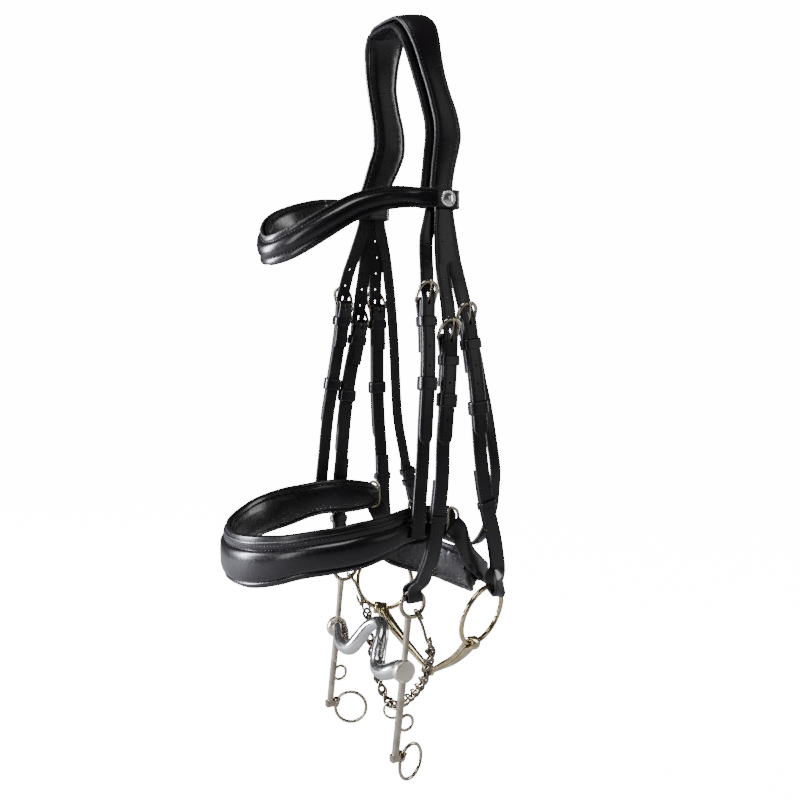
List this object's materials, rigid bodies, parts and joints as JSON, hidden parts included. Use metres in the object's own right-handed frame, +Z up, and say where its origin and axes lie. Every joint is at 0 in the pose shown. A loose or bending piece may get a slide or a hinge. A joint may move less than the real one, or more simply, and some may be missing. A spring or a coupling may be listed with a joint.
{
  "type": "double bridle",
  "caption": "Black leather double bridle with padded headpiece, browband and wide noseband, curb bit with chain and a loose-ring bradoon.",
  "frame": {"origin": "middle of the flat underside of the headpiece padding, where the bridle rests on the poll", "axes": "+X to the horse's left (near side), -Y towards the nose, +Z up"},
  "size_m": [0.1888, 0.2605, 0.686],
  "materials": {
    "leather": "smooth black bridle leather, waxed",
    "lining": "soft black padded lining leather",
    "steel": "polished stainless steel",
    "bright": "bright polished steel",
    "warm_steel": "polished steel with a warm tint"
  },
  "bodies": {
    "leatherwork": {"headpiece": "leather", "noseband_headstrap": "leather", "curb_cheekpiece_near": "leather", "curb_cheekpiece_far": "leather", "bradoon_cheekpiece_near": "leather", "bradoon_cheekpiece_far": "leather", "noseband_hanger_near": "leather", "noseband_hanger_far": "leather", "throatlatch_near": "leather", "throatlatch_far": "leather", "browband": "leather", "noseband": "leather", "crank_strap_near": "leather", "crank_strap_far": "leather", "noseband_buckle_near": "steel", "noseband_buckle_far": "steel", "curb_buckle_near": "steel", "curb_buckle_far": "steel", "bradoon_buckle_near": "steel", "bradoon_buckle_far": "steel", "headpiece_padding": "lining", "browband_padding": "lining", "noseband_padding": "lining", "chin_pad": "lining", "throatlatch_buckle": "steel", "rosette_near": "steel", "rosette_far": "steel", "noseband_dee_near": "steel", "noseband_dee_far": "steel", "crank_buckle": "steel"},
    "curb_bit": {"curb_mouthpiece": "bright", "curb_cheek_near": "bright", "curb_cheek_far": "bright"},
    "rein_ring_near": {"rein_ring_near": "bright"},
    "rein_ring_far": {"rein_ring_far": "bright"},
    "curb_hook_near": {"curb_hook_near": "bright"},
    "curb_hook_far": {"curb_hook_far": "bright"},
    "curb_chain": {"curb_chain": "bright"},
    "fly_link": {"fly_link": "bright"},
    "bradoon_bit": {"bradoon_mouthpiece_near": "warm_steel", "bradoon_mouthpiece_far": "warm_steel"},
    "bradoon_ring_near": {"bradoon_ring_near": "warm_steel"},
    "bradoon_ring_far": {"bradoon_ring_far": "warm_steel"},
    "noseband_buckle_tongue_near": {"noseband_buckle_tongue_near": "steel"},
    "curb_buckle_tongue_near": {"curb_buckle_tongue_near": "steel"},
    "bradoon_buckle_tongue_near": {"bradoon_buckle_tongue_near": "steel"},
    "noseband_buckle_tongue_far": {"noseband_buckle_tongue_far": "steel"},
    "curb_buckle_tongue_far": {"curb_buckle_tongue_far": "steel"},
    "bradoon_buckle_tongue_far": {"bradoon_buckle_tongue_far": "steel"},
    "throatlatch_buckle_tongue": {"throatlatch_buckle_tongue": "steel"},
    "crank_buckle_tongue": {"crank_buckle_tongue": "steel"},
    "noseband_keeper_near": {"noseband_keeper_near": "leather"},
    "curb_keeper_near": {"curb_keeper_near": "leather"},
    "bradoon_keeper_near": {"bradoon_keeper_near": "leather"},
    "noseband_keeper_far": {"noseband_keeper_far": "leather"},
    "curb_keeper_far": {"curb_keeper_far": "leather"},
    "bradoon_keeper_far": {"bradoon_keeper_far": "leather"},
    "throatlatch_keeper": {"throatlatch_keeper": "leather"}
  },
  "joints": [
    {"name": "curb_bit_swing", "type": "hinge", "parent": "leatherwork", "child": "curb_bit", "pos_m": [0, -0.0256, -0.5103], "axis": [1, 0, 0], "range_deg": [-40, 8]},
    {"name": "rein_ring_near_turn", "type": "hinge", "parent": "curb_bit", "child": "rein_ring_near", "pos_m": [0.0665, -0.0364, -0.6475], "axis": [-0.2277, 0.5724, 0.7877], "range_deg": [-35, 35]},
    {"name": "rein_ring_far_turn", "type": "hinge", "parent": "curb_bit", "child": "rein_ring_far", "pos_m": [-0.0665, -0.0364, -0.6475], "axis": [0.171, 0.2962, 0.9397], "range_deg": [-35, 35]},
    {"name": "curb_hook_near_swing", "type": "hinge", "parent": "leatherwork", "child": "curb_hook_near", "pos_m": [0.0665, -0.01975, -0.5204], "axis": [1, 0, 0], "range_deg": [-5, 10]},
    {"name": "curb_hook_far_swing", "type": "hinge", "parent": "leatherwork", "child": "curb_hook_far", "pos_m": [-0.0665, -0.01975, -0.5204], "axis": [1, 0, 0], "range_deg": [-5, 10]},
    {"name": "curb_chain_swing", "type": "hinge", "parent": "curb_hook_near", "child": "curb_chain", "pos_m": [0, -0.008, -0.5512], "axis": [1, 0, 0], "range_deg": [-6, 8]},
    {"name": "fly_link_swing", "type": "hinge", "parent": "curb_chain", "child": "fly_link", "pos_m": [-0.0205, 0.0032, -0.6384], "axis": [1, 0, 0], "range_deg": [-20, 20]},
    {"name": "bradoon_swing", "type": "hinge", "parent": "leatherwork", "child": "bradoon_bit", "pos_m": [0.075, 0.05729, -0.50424], "axis": [0.9848, 0.1739, 0.0016], "range_deg": [0, 12]},
    {"name": "bradoon_ring_near_turn", "type": "hinge", "parent": "bradoon_bit", "child": "bradoon_ring_near", "pos_m": [0.072, 0.045, -0.53], "axis": [0.9205, 0.3002, -0.2501], "continuous": true},
    {"name": "bradoon_ring_far_turn", "type": "hinge", "parent": "bradoon_bit", "child": "bradoon_ring_far", "pos_m": [-0.074, 0.024, -0.532], "axis": [-0.9205, 0.3002, -0.2501], "continuous": true},
    {"name": "noseband_keeper_near_slide", "type": "slide", "parent": "leatherwork", "child": "noseband_keeper_near", "axis": [-0.0541, 0.0761, 0.9956], "range_m": [-0.005, 0.005]},
    {"name": "curb_keeper_near_slide", "type": "slide", "parent": "leatherwork", "child": "curb_keeper_near", "axis": [-0.0483, 0.1067, 0.9931], "range_m": [-0.005, 0.005]},
    {"name": "bradoon_keeper_near_slide", "type": "slide", "parent": "leatherwork", "child": "bradoon_keeper_near", "axis": [-0.0342, -0.0749, 0.9966], "range_m": [-0.005, 0.005]},
    {"name": "noseband_keeper_far_slide", "type": "slide", "parent": "leatherwork", "child": "noseband_keeper_far", "axis": [0.043, 0.1606, 0.9861], "range_m": [-0.005, 0.005]},
    {"name": "curb_keeper_far_slide", "type": "slide", "parent": "leatherwork", "child": "curb_keeper_far", "axis": [0.033, 0.1313, 0.9908], "range_m": [-0.005, 0.005]},
    {"name": "bradoon_keeper_far_slide", "type": "slide", "parent": "leatherwork", "child": "bradoon_keeper_far", "axis": [0.0451, -0.0397, 0.9982], "range_m": [-0.005, 0.005]},
    {"name": "throatlatch_keeper_slide", "type": "slide", "parent": "leatherwork", "child": "throatlatch_keeper", "axis": [0.0096, 0.2381, -0.9712], "range_m": [-0.003, 0.003]},
    {"name": "noseband_buckle_tongue_near_lift", "type": "hinge", "parent": "leatherwork", "child": "noseband_buckle_tongue_near", "pos_m": [0.07815, -0.02116, -0.246], "axis": [0.012, 0.9974, -0.0706], "range_deg": [0, 10]},
    {"name": "curb_buckle_tongue_near_lift", "type": "hinge", "parent": "leatherwork", "child": "curb_buckle_tongue_near", "pos_m": [0.08226, -0.00123, -0.277], "axis": [-0.0001, 1, 0.0014], "range_deg": [0, 10]},
    {"name": "bradoon_buckle_tongue_near_lift", "type": "hinge", "parent": "leatherwork", "child": "bradoon_buckle_tongue_near", "pos_m": [0.0807, 0.01887, -0.263], "axis": [-0.0166, 0.9857, 0.1676], "range_deg": [0, 10]},
    {"name": "noseband_buckle_tongue_far_lift", "type": "hinge", "parent": "leatherwork", "child": "noseband_buckle_tongue_far", "pos_m": [-0.07895, -0.0187, -0.247], "axis": [0.0098, -0.9975, 0.0693], "range_deg": [0, 10]},
    {"name": "curb_buckle_tongue_far_lift", "type": "hinge", "parent": "leatherwork", "child": "curb_buckle_tongue_far", "pos_m": [-0.08102, 0.00015, -0.266], "axis": [0.0077, -0.9973, 0.0734], "range_deg": [0, 10]},
    {"name": "bradoon_buckle_tongue_far_lift", "type": "hinge", "parent": "leatherwork", "child": "bradoon_buckle_tongue_far", "pos_m": [-0.07979, 0.01995, -0.25], "axis": [-0.0101, -0.9953, -0.0967], "range_deg": [0, 10]},
    {"name": "throatlatch_buckle_tongue_lift", "type": "hinge", "parent": "leatherwork", "child": "throatlatch_buckle_tongue", "pos_m": [-0.07983, 0.06469, -0.45], "axis": [-0.0243, 0.9659, 0.258], "range_deg": [0, 10]},
    {"name": "crank_buckle_tongue_lift", "type": "hinge", "parent": "leatherwork", "child": "crank_buckle_tongue", "pos_m": [0.002, 0.07314, -0.50603], "axis": [0.0128, 0.0008, 0.9999], "range_deg": [0, 10]}
  ],
  "couplings": [
    {"joint": "curb_hook_far_swing", "follows": "curb_hook_near_swing", "ratio": 1}
  ]
}
